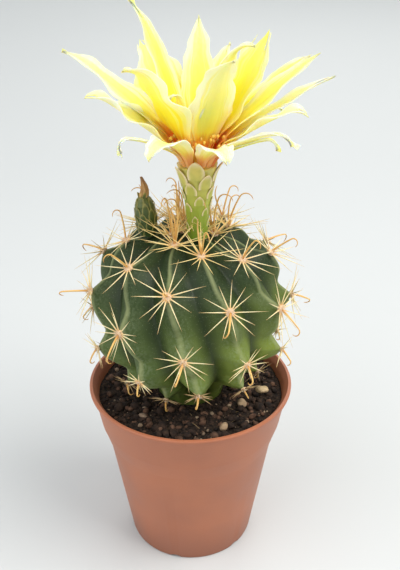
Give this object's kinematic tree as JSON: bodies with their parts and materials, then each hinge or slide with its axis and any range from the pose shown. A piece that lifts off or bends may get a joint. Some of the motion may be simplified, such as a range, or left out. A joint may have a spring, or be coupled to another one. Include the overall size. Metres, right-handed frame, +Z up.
{
  "type": "potted round cactus",
  "caption": "A small round ribbed cactus with hooked spines, a bud and an open yellow flower, in a terracotta-coloured plastic nursery pot",
  "frame": {"origin": "The middle of the pot's underside, on the plane it stands on", "axes": "+Z up along the pot's axis, -Y towards the front, +X to the right seen from the front"},
  "size_m": [0.0676, 0.0683, 0.1486],
  "materials": {
    "terracotta_plastic": "satin moulded plastic",
    "peat": "matte, crumbly",
    "pale_grit": "matte",
    "cactus_skin": "waxy satin skin with a pale bloom",
    "spines": "dry, satin, woody",
    "flower_tube_skin": "waxy satin skin",
    "yellow_petal": "soft, thin, slightly translucent",
    "outer_petal": "soft, thin",
    "pollen_yellow": "matte",
    "stigma": "matte",
    "bud_scales": "waxy satin skin",
    "dry_petal": "dry, papery"
  },
  "bodies": {
    "root": {"bud_dry_tip": "dry_petal", "cactus_stem": "cactus_skin", "flower_bud": "bud_scales", "flower_tube": "flower_tube_skin", "grit_stone_1": "pale_grit", "grit_stone_2": "pale_grit", "grit_stone_3": "pale_grit", "grit_stone_4": "pale_grit", "pot": "terracotta_plastic", "potting_mix": "peat", "spine_cluster_01": "spines", "spine_cluster_02": "spines", "spine_cluster_03": "spines", "spine_cluster_04": "spines", "spine_cluster_05": "spines", "spine_cluster_06": "spines", "spine_cluster_07": "spines", "spine_cluster_08": "spines", "spine_cluster_09": "spines", "spine_cluster_10": "spines", "spine_cluster_11": "spines", "spine_cluster_12": "spines", "spine_cluster_13": "spines", "spine_cluster_14": "spines", "spine_cluster_15": "spines", "spine_cluster_16": "spines", "spine_cluster_17": "spines", "spine_cluster_18": "spines", "spine_cluster_19": "spines", "spine_cluster_20": "spines", "spine_cluster_21": "spines", "spine_cluster_22": "spines", "spine_cluster_23": "spines", "spine_cluster_24": "spines", "stamens": "pollen_yellow", "style": "stigma", "tepal_inner_01": "yellow_petal", "tepal_inner_02": "yellow_petal", "tepal_inner_03": "yellow_petal", "tepal_inner_04": "yellow_petal", "tepal_inner_05": "yellow_petal", "tepal_inner_06": "yellow_petal", "tepal_middle_01": "yellow_petal", "tepal_middle_02": "yellow_petal", "tepal_middle_03": "yellow_petal", "tepal_middle_04": "yellow_petal", "tepal_middle_05": "yellow_petal", "tepal_middle_06": "yellow_petal", "tepal_outer_01": "outer_petal", "tepal_outer_02": "outer_petal", "tepal_outer_03": "outer_petal", "tepal_outer_04": "outer_petal", "tepal_outer_05": "outer_petal", "tepal_outer_06": "outer_petal", "tepal_outer_07": "outer_petal", "tepal_outer_08": "outer_petal", "tepal_outer_09": "outer_petal", "tepal_outer_10": "outer_petal", "tepal_outer_11": "outer_petal"}
  },
  "joints": []
}
